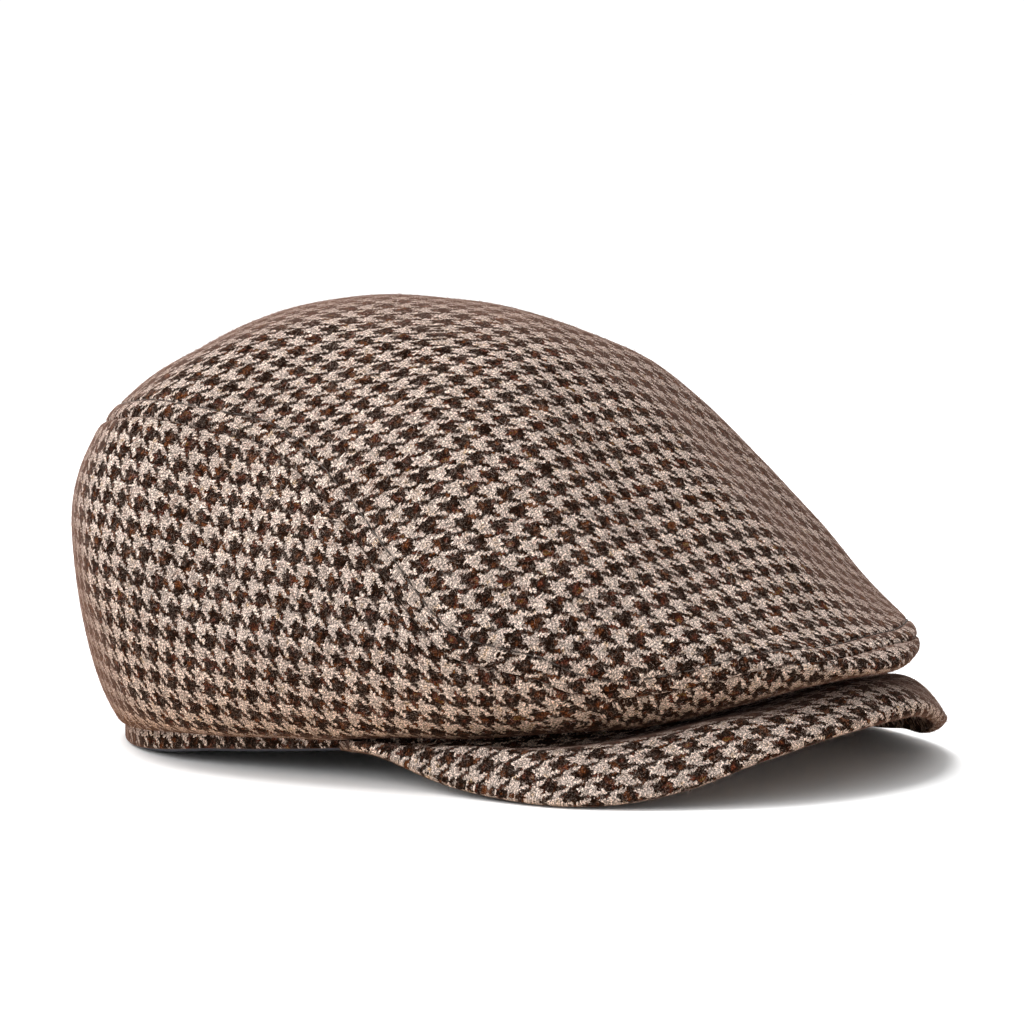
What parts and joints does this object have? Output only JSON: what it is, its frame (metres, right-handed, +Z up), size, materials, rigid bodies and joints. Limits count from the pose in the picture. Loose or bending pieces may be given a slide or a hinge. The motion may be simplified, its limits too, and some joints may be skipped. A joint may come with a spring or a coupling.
{
  "type": "flat cap in houndstooth tweed",
  "caption": "Low cloth cap with a full soft crown that runs forward into a short stiff curved brim, in a brown and beige check.",
  "frame": {"origin": "middle of the overall box, on the surface the cap stands on", "axes": "+Z up, -Y towards the front of the brim, +X towards the wearer's left"},
  "size_m": [0.196, 0.2544, 0.1264],
  "materials": {
    "crown_top": "matte wool tweed",
    "side_panel": "matte wool tweed",
    "brim": "matte wool tweed over a stiffener",
    "headband": "matte wool tweed",
    "sweatband": "smooth dark woven band"
  },
  "bodies": {
    "root": {"crown_top": "crown_top", "side_panel": "side_panel", "brim": "brim", "headband": "headband", "sweatband": "sweatband"}
  },
  "joints": []
}
